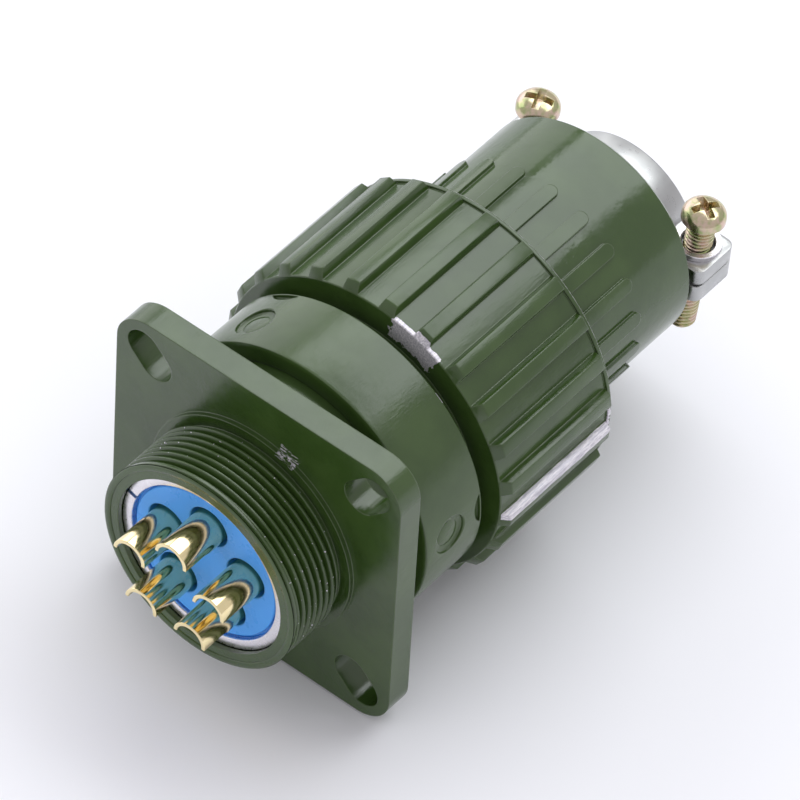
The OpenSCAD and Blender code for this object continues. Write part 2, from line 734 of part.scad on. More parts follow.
module clamp_screws() {
  color(zinc_yellow) rotate([clamp_roll, 0, 0])
    for (s = [-1, 1]) translate([screw_x, s * screw_spacing / 2, 0]) difference() {
      union() {
        translate([0, 0, screw_head_z - screw_len]) cylinder(h = screw_len, r = screw_r);
        translate([0, 0, screw_head_z]) rotate_extrude()
          polygon([[0, 0], [head_r, 0], [head_r, head_h * 0.35], [head_r * 0.93, head_h * 0.65],
                   [head_r * 0.72, head_h * 0.9], [head_r * 0.4, head_h], [0, head_h]]);
      }
      translate([0, 0, screw_head_z + head_h * 0.35]) for (a = [0, 90]) rotate(a + 20)
        translate([-head_r * 0.62, -0.36, 0]) cube([head_r * 1.24, 0.72, head_h]);
    }
}

module spring_washers() {
  color(steel) rotate([clamp_roll, 0, 0])
    for (s = [-1, 1]) translate([screw_x, s * screw_spacing / 2, washer_z]) difference() {
      cylinder(h = washer_t, r = washer_r);
      translate([0, 0, -1]) cylinder(h = washer_t + 2, r = screw_r + screw_gap);
      rotate(225) translate([0, -washer_slit / 2, -1]) cube([washer_r + 1, washer_slit, washer_t + 2]);
    }
}

receptacle_shell();
receptacle_insert();
pin_contact_1();
pin_contact_2();
pin_contact_3();
pin_contact_4();
pin_contact_5();
insert_retaining_ring();
interface_seal();
plug_shell();
plug_insert();
socket_contact_1();
socket_contact_2();
socket_contact_3();
socket_contact_4();
socket_contact_5();
wave_washer();
ring_circlip();
backshell();
clamp_base();
clamp_saddle();
clamp_screws();
spring_washers();
coupling_ring();
bayonet_studs();
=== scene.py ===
"""Looks of the circular bayonet connector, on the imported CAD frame.

The frame is in metres, +X along the connector axis from the solder cups to
the cable clamp and +Z up. Lengths below are written in millimetres and turn
into metres with MM; lights and the camera are placed in metres. Angles round
the axis are in degrees and count from +Y towards +Z.
"""
import math

import bmesh
import bpy
from mathutils import Matrix, Vector

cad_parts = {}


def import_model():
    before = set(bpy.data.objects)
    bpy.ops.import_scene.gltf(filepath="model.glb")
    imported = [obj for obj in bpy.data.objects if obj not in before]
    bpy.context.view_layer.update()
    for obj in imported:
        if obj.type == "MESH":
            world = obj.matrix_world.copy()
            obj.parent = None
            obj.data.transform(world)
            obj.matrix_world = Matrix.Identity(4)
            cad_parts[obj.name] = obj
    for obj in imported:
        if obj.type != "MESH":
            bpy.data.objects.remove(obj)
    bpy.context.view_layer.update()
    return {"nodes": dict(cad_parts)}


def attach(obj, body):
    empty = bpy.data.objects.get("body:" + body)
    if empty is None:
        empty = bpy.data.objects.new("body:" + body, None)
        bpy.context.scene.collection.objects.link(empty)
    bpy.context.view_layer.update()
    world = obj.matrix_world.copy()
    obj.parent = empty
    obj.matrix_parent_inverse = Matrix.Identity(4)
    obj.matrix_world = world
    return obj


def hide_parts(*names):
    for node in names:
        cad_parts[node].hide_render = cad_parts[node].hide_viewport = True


# ---------------------------------------------------------------- dimensions

MM = 0.001
POLE_R = 0.02  # radius at which a turned outline closes on its axis

# Receptacle tube and its thread
TUBE_CREST_R = 12.05
TUBE_ROOT_R = 11.45
TUBE_THREAD_START = -8.25
TUBE_THREAD_END = -0.6
TUBE_THREAD_PITCH = 0.88

# Mouth of the tube: a plain band with a step inside it
BAND_R = 12.12
BAND_BORE_R = 11.3
BAND_START = -8.45
BAND_END = -8.08
BAND_ROUND = 0.22

# Insert, its retaining ring and the contacts
INSERT_FACE_X = -7.35
INSERT_FACE_R = 8.9
INSERT_LEDGE_X = -6.85
INSERT_R = 10.34
INSERT_STEP_X = 1.5
INSERT_NOSE_R = 9.44
INSERT_END_X = 3.6
RETAINER_R = (9.2, 10.38)
RETAINER_X = (-7.65, -6.9)
RETAINER_ROUND = 0.12
RETAINER_GAP_ANGLE = 20.0
RETAINER_HALF_GAP = 1.7
PIN_CIRCLE_R = 5.75
PIN_ANGLES = [32 + 67.5 * i for i in range(5)]
PIN_R = 1.25
PIN_TAPER_X = 10.75
PIN_END_X = 11.5
CUP_CIRCLE_R = 5.3
CUP_ANGLES = [20.5 + 72 * i for i in range(5)]
CUP_OPEN_ANGLE = 276.0
CUP_MOUTH_X = -13.1
CUP_R = 2.0
CUP_BORE_R = 1.58
CUP_DEPTH = 5.4
CUP_OPEN_LEN = 4.4
CUP_HOLE_R = 2.35
CUP_HOLE_DEPTH = 2.2

# Coupling ring
COLLAR_X = (6.8, 15.4)
COLLAR_R = 16.4
COLLAR_BORE_R = 14.38
NECK_R = 14.15
TEETH_X = 17.1
RING_END_X = 34.3
RING_BORE_R = 14.2
WEB_X = (17.85, 19.85)
WEB_R = 12.2
NOSE_BORE_R = 13.28
COLLAR_STEP_X = 14.2
RIM_X = 33.8
RIM_R = 17.65
TOOTH_FLOOR_R = 17.4
TOOTH_TIP_R = 18.36
TOOTH_COUNT = 24
TOOTH_ANGLE = 5.8
TOOTH_FOOT_W = 6.6
TOOTH_TIP_W = 4.8
TOOTH_SLOPES = (0.75, 0.3)
TOOTH_ROUND = 0.11
STUD_X = 10.5
STUD_ANGLES = [56, 176, 296]
STUD_R = 1.5
STUD_TIP_R = 13.35
RECESS_R = 2.15
RECESS_DEPTH = 0.45
CRESCENT_R = 2.6
CRESCENT_X = 16.9
CRESCENT_END_X = 15.15
CRESCENT_DEPTH = 0.4

# Cable clamp
CLAMP_ROLL = math.radians(2)
CLAMP_FLANGE_X = (52.9, 53.4)
CLAMP_PLUG_X = 46.4
CLAMP_PLUG_R = 10.28
CLAMP_FLANGE_R = 11.3
CABLE_R = 5.1
ARCH_X = (53.55, 59.4)
ARCH_R = (7.1, 8.6)
ARCH_DROP = 1.9
EAR_Y = (7.0, 13.6)
EAR_END_X = 59.4
EAR_CORNER = 1.0
EAR_T = 2.1
SADDLE_GAP = 0.25
SADDLE_T = 1.85
SCREW_X = 56.7
SCREW_LEAN = math.radians(2.6)
RIGHT_SCREW_ROLL = math.radians(2)
SCREW_HALF_SPACING = 10.65
SCREW_HEAD_Z = 5.9
SCREW_LEN = 15.5
SCREW_R = 1.5
SCREW_CORE_R = 1.24
SCREW_PITCH = 0.5
CLAMP_HOLE_R = 1.95
HEAD_R = 2.33
HEAD_H = 1.9
HEAD_RIM_H = 0.62
RECESS_TURNS = (20, 62)
WASHER_Z = 2.0
WASHER_R = 2.5
WASHER_BORE_R = 1.8
WASHER_T = 0.62
WASHER_RISE = 0.06
WASHER_GAP = 9.0
WASHER_GAP_ANGLE = 40.0
WASHER_ROUND = 0.07

FLOOR_Z = -18.38


# ------------------------------------------------------------- node material

PAINT_IOR = 1.58


class Nodes:
    """Small helper that adds and links shader nodes of one material."""

    def __init__(self, name):
        self.mat = bpy.data.materials.new(name)
        self.mat.use_nodes = True
        self.tree = self.mat.node_tree
        self.tree.nodes.clear()
        self.out = self.tree.nodes.new("ShaderNodeOutputMaterial")
        self.coord = None

    def add(self, kind, inputs=None, **props):
        node = self.tree.nodes.new(kind)
        for key, value in props.items():
            setattr(node, key, value)
        for key, value in (inputs or {}).items():
            self.put(node.inputs[key], value)
        return node

    def put(self, socket, value):
        """Links a node or socket, or sets a constant."""
        if isinstance(value, bpy.types.Node):
            value = value.outputs[0]
        if isinstance(value, bpy.types.NodeSocket):
            self.tree.links.new(value, socket)
        else:
            socket.default_value = value

    def math(self, op, a, b=0.0, c=0.0):
        node = self.add("ShaderNodeMath", {0: a, 1: b}, operation=op)
        if op == "MULTIPLY_ADD":
            self.put(node.inputs[2], c)
        return node.outputs[0]

    def ramp(self, value, low, high, to_low=0.0, to_high=1.0):
        """Eased step from to_low to to_high as value runs from low to high."""
        node = self.add("ShaderNodeMapRange", {"Value": value, "From Min": low, "From Max": high,
                                               "To Min": to_low, "To Max": to_high},
                        interpolation_type="SMOOTHSTEP")
        return node.outputs[0]

    def mix(self, factor, a, b):
        node = self.add("ShaderNodeMix", {"Factor": factor}, data_type="RGBA")
        self.put(node.inputs[6], a)
        self.put(node.inputs[7], b)
        return node.outputs[2]

    def mix_value(self, factor, a, b):
        node = self.add("ShaderNodeMix", {"Factor": factor}, data_type="FLOAT")
        self.put(node.inputs[2], a)
        self.put(node.inputs[3], b)
        return node.outputs[0]

    def noise(self, vector, scale, detail=2.0, rough=0.5):
        node = self.add("ShaderNodeTexNoise", {"Vector": vector, "Scale": scale, "Detail": detail,
                                               "Roughness": rough})
        return node.outputs[0]

    def object_mm(self):
        """Object coordinates in millimetres."""
        if self.coord is None:
            tex = self.add("ShaderNodeTexCoord")
            self.coord = self.add("ShaderNodeVectorMath",
                                  {0: tex.outputs["Object"], 1: (1000, 1000, 1000)},
                                  operation="MULTIPLY").outputs[0]
        return self.coord

    def polar(self):
        """Axial station, radius and angle in degrees round the connector axis."""
        parts = self.add("ShaderNodeSeparateXYZ", {0: self.object_mm()})
        x, y, z = parts.outputs
        yy = self.math("MULTIPLY", y, y)
        radius = self.math("SQRT", self.math("MULTIPLY_ADD", z, z, yy))
        angle = self.math("DEGREES", self.math("ARCTAN2", z, y))
        angle = self.math("MODULO", self.math("ADD", angle, 360.0), 360.0)
        return x, radius, angle

    def stretched(self, x_scale, y_scale, z_scale):
        """Object coordinates in millimetres with each axis scaled."""
        return self.add("ShaderNodeVectorMath",
                        {0: self.object_mm(), 1: (x_scale, y_scale, z_scale)},
                        operation="MULTIPLY").outputs[0]

    def bump(self, height, strength, distance_mm, normal=None):
        node = self.add("ShaderNodeBump", {"Height": height, "Strength": strength,
                                           "Distance": distance_mm * MM})
        if normal is not None:
            self.put(node.inputs["Normal"], normal)
        return node.outputs[0]

    def rounded(self, radius_mm, samples=6):
        return self.add("ShaderNodeBevel", {"Radius": radius_mm * MM}, samples=samples).outputs[0]

    def surface(self, color, rough, metallic=0.0, normal=None, ior=1.5):
        shader = self.add("ShaderNodeBsdfPrincipled", {"Base Color": color, "Roughness": rough,
                                                       "Metallic": metallic, "IOR": ior})
        if normal is not None:
            self.put(shader.inputs["Normal"], normal)
        self.tree.links.new(shader.outputs[0], self.out.inputs["Surface"])


def patch(n, x, r, angle, x_span, r_span, a_span, ragged):
    """1 inside a worn patch with a ragged rim; each span is (middle, half width)."""
    sides = []
    for value, (middle, half) in ((x, x_span), (r, r_span), (angle, a_span)):
        offset = n.math("DIVIDE", n.math("SUBTRACT", value, middle), half)
        sides.append(n.math("ABSOLUTE", offset))
    reach = n.math("MAXIMUM", n.math("MAXIMUM", sides[0], sides[1]), sides[2])
    return n.math("LESS_THAN", n.math("ADD", reach, ragged), 1.0)


def enamel(name, worn=None, peel=1.0, specks=0.0):
    """Glossy olive-green enamel over aluminium.

    worn(n, x, r, angle) says where the metal is bare, peel scales the relief
    of the paint, and specks is the radius beyond which grain-sized chips lie.
    """
    n = Nodes(name)
    x, r, angle = n.polar()
    soft = n.rounded(0.16)
    flat = n.add("ShaderNodeNewGeometry").outputs["Normal"]
    edge = n.math("SUBTRACT", 1.0, n.add("ShaderNodeVectorMath", {0: soft, 1: flat},
                                        operation="DOT_PRODUCT").outputs["Value"])

    # Paint: slow variation of tone, paler over the edges: partly a painted highlight where edges
    # catch light, partly thin paint
    cloud = n.noise(n.object_mm(), 0.16, 3.0)
    tone = n.mix(n.ramp(cloud, 0.35, 0.68), (0.031, 0.064, 0.012, 1), (0.043, 0.082, 0.018, 1))
    # Painted highlight along the edges, mixed with thin paint there: the edge mask lifts the green
    # towards a paler tone
    edge_highlight_and_thin_paint = n.ramp(edge, 0.02, 0.16)
    paint = n.mix(n.math("MULTIPLY", edge_highlight_and_thin_paint, 0.45), tone, (0.125, 0.170, 0.080, 1))

    # Orange peel, dust nibs and a faint trace of turning marks under the paint
    wide = n.noise(n.object_mm(), 0.55, 2.0)
    fine = n.noise(n.object_mm(), 2.6, 2.0)
    lathe = n.noise(n.stretched(5.5, 0.16, 0.16), 1.0, 3.0)
    nibs = n.ramp(n.noise(n.object_mm(), 4.2, 1.0), 0.70, 0.80)
    height = n.math("MULTIPLY_ADD", wide, 1.0, n.math("MULTIPLY", fine, 0.14))
    height = n.math("MULTIPLY_ADD", lathe, 0.06, height)
    height = n.math("MULTIPLY_ADD", nibs, 0.16, height)
    normal = n.bump(height, 0.55 * peel, 0.05, soft)

    rough = n.ramp(n.noise(n.object_mm(), 0.35, 4.0, 0.65), 0.3, 0.75, 0.08, 0.21)
    rough = n.math("MULTIPLY_ADD", n.ramp(fine, 0.5, 0.8), 0.06, rough)
    bare = worn(n, x, r, angle) if worn else None
    if specks:
        grain = n.noise(n.object_mm(), 3.4, 1.0)
        outer = n.math("GREATER_THAN", r, specks)
        bare = n.math("MULTIPLY", n.math("GREATER_THAN", grain, 0.735), outer)
    if bare is None:
        n.surface(paint, rough, 0.0, normal, PAINT_IOR)
        return n.mat

    scuff = n.noise(n.stretched(0.7, 5.0, 5.0), 1.0, 4.0, 0.7)
    metal = n.mix(n.ramp(scuff, 0.35, 0.7), (0.46, 0.44, 0.50, 1), (0.92, 0.88, 0.92, 1))
    rough = n.mix_value(bare, rough, n.ramp(scuff, 0.3, 0.7, 0.28, 0.5))
    step = n.math("MULTIPLY_ADD", scuff, 0.5, n.math("MULTIPLY", bare, -1.0))
    normal = n.bump(step, 0.6, 0.06, normal)
    n.surface(n.mix(bare, paint, metal), rough, n.math("MULTIPLY", bare, 0.4), normal, PAINT_IOR)
    return n.mat


def ring_wear(n, x, r, angle):
    """Bare metal on the coupling ring: face chip, rubbed tooth, collar nick, rear edge."""
    blotch = n.noise(n.object_mm(), 1.1, 4.0, 0.7)
    ragged = n.math("MULTIPLY", n.math("SUBTRACT", blotch, 0.5), 0.9)
    streak = n.noise(n.stretched(0.5, 2.2, 2.2), 1.0, 4.0, 0.7)
    fine = n.math("MULTIPLY", n.math("SUBTRACT", streak, 0.5), 0.35)
    broken = n.math("MULTIPLY", ragged, 4.5)
    face = patch(n, x, r, angle, (17.1, 0.5), (16.9, 2.1), (109.5, 10.0), ragged)
    tooth = patch(n, x, r, angle, (25.2, 9.0), (18.1, 0.62), (181.0, 4.2), fine)
    nick = patch(n, x, r, angle, (15.42, 0.14), (16.3, 0.35), (129.0, 2.2), fine)
    rim = patch(n, x, r, angle, (34.3, 0.06), (17.62, 0.08), (180.0, 400.0), broken)
    return n.math("MAXIMUM", n.math("MAXIMUM", face, rim), n.math("MAXIMUM", tooth, nick))


def flange_wear(n, x, r, angle):
    """Scratches at the foot of the threaded tube and on the flange face beside it."""
    across = n.noise(n.stretched(4.5, 0.55, 5.0), 1.0, 3.0, 0.6)
    ragged = n.math("MULTIPLY", across, 0.7)
    near = patch(n, x, r, angle, (-0.2, 0.6), (13.1, 1.3), (108.0, 9.0), ragged)
    return n.math("MULTIPLY", near, n.math("GREATER_THAN", across, 0.55))


def blue_plastic():
    """Moulded blue insert plastic with a faint cloud of tone."""
    n = Nodes("blue_insert")
    cloud = n.noise(n.object_mm(), 0.5, 3.0)
    color = n.mix(cloud, (0.040, 0.33, 0.93, 1), (0.070, 0.40, 0.98, 1))
    normal = n.bump(n.noise(n.object_mm(), 1.5, 3.0), 0.25, 0.05, n.rounded(0.1))
    n.surface(color, n.ramp(cloud, 0.3, 0.7, 0.26, 0.36), 0.0, normal, ior=1.5)
    return n.mat


def gold():
    """Drawn and plated gold, brightest along the contact."""
    n = Nodes("gold_plate")
    cloud = n.noise(n.object_mm(), 0.8, 3.0)
    color = n.mix(cloud, (0.90, 0.74, 0.38, 1), (0.96, 0.84, 0.54, 1))
    draw = n.noise(n.stretched(0.25, 4.0, 4.0), 1.0, 3.0)
    normal = n.bump(draw, 0.25, 0.02, n.rounded(0.06))
    n.surface(color, n.ramp(draw, 0.3, 0.7, 0.07, 0.15), 1.0, normal)
    return n.mat


def bright_metal(name, dark, light, rough_low, rough_high, grain, bump, round_mm):
    """Bright metal with a grain of so many cells per millimetre."""
    n = Nodes(name)
    streak = n.noise(n.stretched(grain, grain, grain), 1.0, 4.0, 0.65)
    cloud = n.noise(n.object_mm(), 0.45, 3.0)
    color = n.mix(cloud, dark, light)
    normal = n.bump(streak, bump, 0.03, n.rounded(round_mm))
    n.surface(color, n.ramp(streak, 0.3, 0.7, rough_low, rough_high), 1.0, normal)
    return n.mat


def yellow_zinc():
    """Pale yellow zinc plate with a faint pink and green bloom."""
    n = Nodes("yellow_zinc_plate")
    bloom = n.noise(n.object_mm(), 0.55, 3.0)
    warm = n.mix(n.ramp(bloom, 0.35, 0.65), (0.58, 0.52, 0.32, 1), (0.66, 0.49, 0.42, 1))
    green = n.ramp(n.noise(n.object_mm(), 0.9, 2.0), 0.45, 0.7)
    color = n.mix(green, warm, (0.38, 0.43, 0.20, 1))
    normal = n.bump(n.noise(n.object_mm(), 3.0, 3.0), 0.2, 0.02, n.rounded(0.07))
    n.surface(color, n.ramp(bloom, 0.3, 0.7, 0.16, 0.28), 1.0, normal)
    return n.mat


def rubber():
    """Dark matt rubber of the hidden seal."""
    n = Nodes("seal_rubber")
    grain = n.noise(n.object_mm(), 4.0, 3.0)
    n.surface((0.035, 0.035, 0.038, 1), n.ramp(grain, 0.3, 0.7, 0.55, 0.75), 0.0,
              n.bump(grain, 0.3, 0.04), ior=1.5)
    return n.mat


# -------------------------------------------------------------- mesh helpers

def mesh_object(name, verts, faces, material, smooth_deg=35.0):
    """Object from points in millimetres, welded, with outward faces and smooth shading."""
    mesh = bpy.data.meshes.new(name)
    mesh.from_pydata([Vector(v) * MM for v in verts], [], faces)
    bm = bmesh.new()
    bm.from_mesh(mesh)
    bmesh.ops.remove_doubles(bm, verts=bm.verts, dist=1e-7)
    bmesh.ops.recalc_face_normals(bm, faces=bm.faces)
    bm.to_mesh(mesh)
    bm.free()
    obj = bpy.data.objects.new(name, mesh)
    bpy.context.scene.collection.objects.link(obj)
    mesh.materials.append(material)
    smooth(obj, smooth_deg)
    return obj


def smooth(obj, degrees=35.0):
    """Smooth shading with sharp creases over an angle."""
    for poly in obj.data.polygons:
        poly.use_smooth = True
    obj.data.set_sharp_from_angle(angle=math.radians(degrees))


def bevel_edges(obj, width_mm, angle=35.0):
    """Rounds every edge sharper than an angle."""
    mod = obj.modifiers.new("bevel", "BEVEL")
    mod.width = width_mm * MM
    mod.segments = 2
    mod.limit_method = "ANGLE"
    mod.angle_limit = math.radians(angle)
    mod.harden_normals = False
    bpy.context.view_layer.objects.active = obj
    bpy.ops.object.modifier_apply(modifier=mod.name)


def cut(obj, cutter, operation="DIFFERENCE"):
    """Cuts the cutter away from obj, or fuses it to obj, and deletes it."""
    mod = obj.modifiers.new("cut", "BOOLEAN")
    mod.operation = operation
    mod.solver = "EXACT"
    mod.use_self = True
    mod.object = cutter
    bpy.context.view_layer.objects.active = obj
    bpy.ops.object.modifier_apply(modifier=mod.name)
    bpy.data.objects.remove(cutter)


def join(obj, others):
    """Joins others into obj."""
    bpy.context.view_layer.update()
    bpy.ops.object.select_all(action="DESELECT")
    for item in [obj] + others:
        item.select_set(True)
    bpy.context.view_layer.objects.active = obj
    bpy.ops.object.join()


def arc(cx, cy, r, first, last, steps):
    """Points of a circular arc, in degrees."""
    out = []
    for i in range(steps + 1):
        a = math.radians(first + (last - first) * i / steps)
        out.append((cx + r * math.cos(a), cy + r * math.sin(a)))
    return out


def soft_rect(r0, r1, x0, x1, rim):
    """Closed rectangle of radii and stations with its corners taken off."""
    near = rim * 0.3
    return [(r0 + rim, x0), (r1 - rim, x0), (r1 - near, x0 + near),
            (r1, x0 + rim), (r1, x1 - rim), (r1 - near, x1 - near),
            (r1 - rim, x1), (r0 + rim, x1), (r0 + near, x1 - near),
            (r0, x1 - rim), (r0, x0 + rim), (r0 + near, x0 + near)]


def upright(a, b, t):
    """Place for prism(): an outline in X and Y drawn out along Z."""
    return (a, b, t)


def prism(outline, low, high, place):
    """Closed outline of (a, b) points drawn out from low to high by place(a, b, t)."""
    count = len(outline)
    verts = [place(a, b, t) for t in (low, high) for a, b in outline]
    faces = [(k, (k + 1) % count, count + (k + 1) % count, count + k) for k in range(count)]
    faces += [tuple(range(count - 1, -1, -1)), tuple(range(count, 2 * count))]
    return verts, faces


def lathe(points, steps=64):
    """Rings round Z from (radius, height) points, poles closed."""
    verts, faces = [], []
    for r, z in points:
        for k in range(steps):
            a = 2 * math.pi * k / steps
            verts.append((r * math.cos(a), r * math.sin(a), z))
    for i in range(len(points) - 1):
        for k in range(steps):
            a, b = i * steps + k, i * steps + (k + 1) % steps
            faces.append((a, b, b + steps, a + steps))
    faces.append(tuple(range(steps - 1, -1, -1)))
    last = (len(points) - 1) * steps
    faces.append(tuple(range(last, last + steps)))
    return verts, faces


def turned(points, steps=64):
    """Solid of revolution about X from (radius, station) points, poles closed."""
    verts, faces = lathe(points, steps)
    return [(z, x, y) for x, y, z in verts], faces


def sweep(rings):
    """Vertices and faces of a skin over closed rings of points, capped at both ends."""
    count = len(rings[0])
    verts = [p for ring in rings for p in ring]
    faces = []
    for i in range(len(rings) - 1):
        for k in range(count):
            a, b = i * count + k, i * count + (k + 1) % count
            faces.append((a, b, b + count, a + count))
    faces.append(tuple(range(count - 1, -1, -1)))
    last = (len(rings) - 1) * count
    faces.append(tuple(range(last, last + count)))
    return verts, faces


def revolve(profile, first=0.0, last=360.0, steps=144):
    """Skin of a closed (radius, station) outline turned round the connector axis."""
    whole = last - first >= 360.0
    rings = []
    for i in range(steps if whole else steps + 1):
        a = math.radians(first + (last - first) * i / steps)
        rings.append([(x, r * math.cos(a), r * math.sin(a)) for r, x in profile])
    if not whole:
        return sweep(rings)
    count = len(profile)
    verts = [p for ring in rings for p in ring]
    faces = []
    for i in range(steps):
        for k in range(count):
            a, b = i * count, (i + 1) % steps * count
            j = (k + 1) % count
            faces.append((a + k, a + j, b + j, b + k))
    return verts, faces


def thread_rings(start, end, pitch, root_r, crest_r, steps, place, fade_turns=0.35):
    """Rings of a V-thread ridge from start to end; place(s, r, a) gives the point."""
    turns = (end - start) / pitch
    total = int(turns * steps)
    half_root, half_crest = pitch * 0.46, pitch * 0.10
    rings = []
    for i in range(total + 1):
        t = i / steps
        a = 2 * math.pi * t
        s = start + pitch * t
        grow = min(1.0, t / fade_turns, (turns - t) / fade_turns)
        grow = max(grow, 0.02)
        top = root_r + (crest_r - root_r) * grow
        mid = root_r + (crest_r - root_r) * grow * 0.82
        profile = [(-half_root * grow, root_r - 0.08), (-half_root * grow, root_r),
                   (-half_crest * 1.9, mid), (-half_crest, top), (half_crest, top),
                   (half_crest * 1.9, mid), (half_root * grow, root_r),
                   (half_root * grow, root_r - 0.08)]
        rings.append([place(s + ds, r, a) for ds, r in profile])
    return rings


def on_circle(r, degrees):
    """Shift from the axis to a place on a circle round it."""
    a = math.radians(degrees)
    return Matrix.Translation(Vector((0, r * math.cos(a), r * math.sin(a))) * MM)


# -------------------------------------------------------------------- pieces

def tube_thread(material):
    """Fine thread on the receptacle's tube."""
    def place(s, r, a):
        return (s, r * math.cos(a), r * math.sin(a))

    inset = TUBE_THREAD_PITCH * 0.5
    rings = thread_rings(TUBE_THREAD_START + inset, TUBE_THREAD_END - inset, TUBE_THREAD_PITCH,
                         TUBE_ROOT_R, TUBE_CREST_R, 160, place)
    obj = mesh_object("tube_thread", *sweep(rings), material)
    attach(obj, "receptacle")


def mouth_band(material):
    """Rolled plain band at the mouth of the threaded tube."""
    section = soft_rect(BAND_BORE_R, BAND_R, BAND_START, BAND_END, BAND_ROUND)
    obj = mesh_object("mouth_band", *revolve(section), material)
    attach(obj, "receptacle")


def insert_body(material):
    """Blue insert with a raised face and a blind hole round each solder cup."""
    points = [(POLE_R, INSERT_FACE_X), (INSERT_FACE_R - 0.12, INSERT_FACE_X),
              (INSERT_FACE_R, INSERT_FACE_X + 0.12), (INSERT_FACE_R, INSERT_LEDGE_X),
              (INSERT_R, INSERT_LEDGE_X), (INSERT_R, INSERT_STEP_X),
              (INSERT_NOSE_R, INSERT_STEP_X), (INSERT_NOSE_R, INSERT_END_X), (POLE_R, INSERT_END_X)]
    obj = mesh_object("insert_body", *turned(points, 128), material)
    floor_x = INSERT_FACE_X + CUP_HOLE_DEPTH
    hole = [(POLE_R, INSERT_FACE_X - 1), (CUP_HOLE_R + 0.1, INSERT_FACE_X - 1),
            (CUP_HOLE_R + 0.1, INSERT_FACE_X), (CUP_HOLE_R, INSERT_FACE_X + 0.1),
            (CUP_HOLE_R, floor_x), (POLE_R, floor_x)]
    for degrees in CUP_ANGLES:
        cutter = mesh_object("cutter", *turned(hole), material)
        cutter.matrix_world = on_circle(CUP_CIRCLE_R, degrees)
        bpy.context.view_layer.update()
        cut(obj, cutter)
    smooth(obj)
    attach(obj, "receptacle")
    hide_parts("receptacle_insert")


def retaining_ring(material):
    """Split ring with rounded edges that holds the insert."""
    section = soft_rect(*RETAINER_R, *RETAINER_X, RETAINER_ROUND)
    verts, faces = revolve(section, RETAINER_GAP_ANGLE + RETAINER_HALF_GAP,
                           RETAINER_GAP_ANGLE + 360 - RETAINER_HALF_GAP)
    obj = mesh_object("split_ring", verts, faces, material)
    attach(obj, "receptacle")
    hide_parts("insert_retaining_ring")


def gold_contact(i, material):
    """Contact i: a solder cup cut open below, and its pin behind the insert."""
    mouth, foot = CUP_MOUTH_X, INSERT_FACE_X + CUP_HOLE_DEPTH + 1.5
    points = [(POLE_R, mouth + CUP_DEPTH), (CUP_BORE_R, mouth + CUP_DEPTH - 0.5),
              (CUP_BORE_R, mouth + 0.05), (CUP_BORE_R + 0.05, mouth), (CUP_R - 0.07, mouth),
              (CUP_R, mouth + 0.07), (CUP_R, foot), (POLE_R, foot)]
    cup = mesh_object("gold_contact_%d" % (i + 1), *turned(points, 72), material)
    scoop = CUP_R * 0.95
    bend = mouth + CUP_OPEN_LEN - scoop
    outline = ([(mouth - 1, 0)] + arc(bend, scoop, scoop, -90, 0, 14)
               + [(bend + scoop, 3), (mouth - 1, 3)])
    cutter = mesh_object("cutter", *prism(outline, -3, 3, upright), material)
    cut(cup, cutter)
    cup.matrix_world = (on_circle(CUP_CIRCLE_R, CUP_ANGLES[i])
                        @ Matrix.Rotation(math.radians(CUP_OPEN_ANGLE), 4, "X"))
    points = [(POLE_R, foot - 0.5), (PIN_R, foot - 0.5), (PIN_R, PIN_TAPER_X),
              (PIN_R * 0.45, PIN_END_X), (POLE_R, PIN_END_X)]
    pin = mesh_object("pin", *turned(points, 40), material)
    pin.matrix_world = on_circle(PIN_CIRCLE_R, PIN_ANGLES[i])
    join(cup, [pin])
    smooth(cup)
    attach(cup, "receptacle")
    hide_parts("pin_contact_%d" % (i + 1))


def ring_tooth(degrees, material):
    """One grip tooth with sloped ends and soft edges."""
    verts = []
    front, rear = TOOTH_SLOPES
    for r, width, x0, x1 in ((TOOTH_FLOOR_R - 0.06, TOOTH_FOOT_W, TEETH_X, RIM_X),
                             (TOOTH_TIP_R, TOOTH_TIP_W, TEETH_X + front, RIM_X - rear)):
        for x, side in ((x0, -1), (x1, -1), (x1, 1), (x0, 1)):
            a = math.radians(degrees + side * width / 2)
            verts.append((x, r * math.cos(a), r * math.sin(a)))
    faces = [(3, 2, 1, 0), (4, 5, 6, 7)]
    faces += [(k, (k + 1) % 4, 4 + (k + 1) % 4, 4 + k) for k in range(4)]
    tooth = mesh_object("tooth", verts, faces, material)
    bevel_edges(tooth, TOOTH_ROUND, 20)
    return tooth


